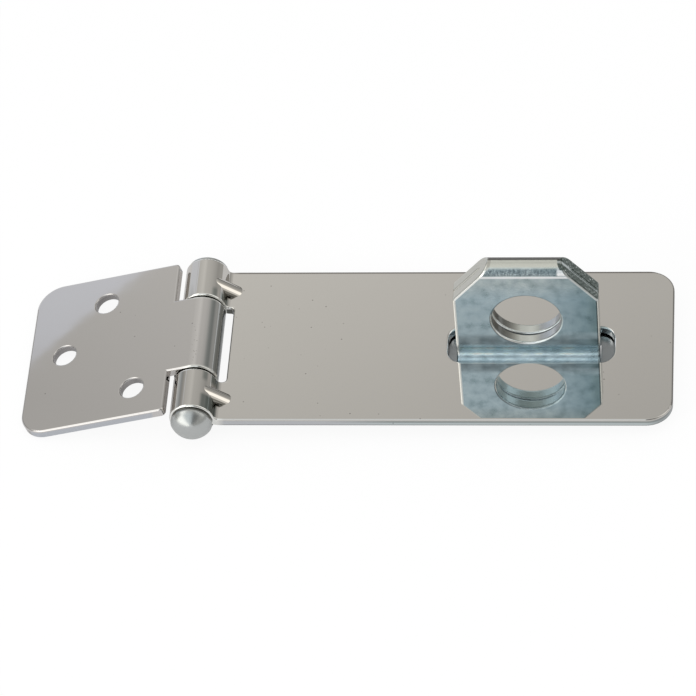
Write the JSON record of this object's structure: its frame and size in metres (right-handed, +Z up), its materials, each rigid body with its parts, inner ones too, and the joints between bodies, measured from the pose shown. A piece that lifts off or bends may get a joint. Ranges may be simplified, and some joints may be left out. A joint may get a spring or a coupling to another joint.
{
  "type": "padlock hasp",
  "caption": "Hinged padlock hasp: a slotted sheet steel strap and fixing leaf on a rivet pin, with a separate folded staple whose lug stands through the slot to take a shackle.",
  "frame": {"origin": "middle of the staple's underside, on the plane that the closed hasp is screwed to", "axes": "+X along the strap from the hinge to its free end, +Y along the hinge pin from its head to its peened end, +Z up out of the fixing plane along the lug"},
  "size_m": [0.1312, 0.0444, 0.0319],
  "materials": {
    "plated_sheet": "polished",
    "plated_leaf": "polished",
    "rivet_steel": "satin",
    "staple_steel": "satin"
  },
  "bodies": {
    "strap": {"hasp_strap": "plated_sheet", "hinge_pin": "rivet_steel", "staple": "staple_steel"},
    "leaf": {"hinge_leaf": "plated_leaf"}
  },
  "joints": [
    {"name": "leaf_hinge", "type": "hinge", "parent": "strap", "child": "leaf", "pos_m": [-0.0666, 0, 0.0045], "axis": [0, -1, 0], "range_deg": [-115, 164.7]}
  ]
}
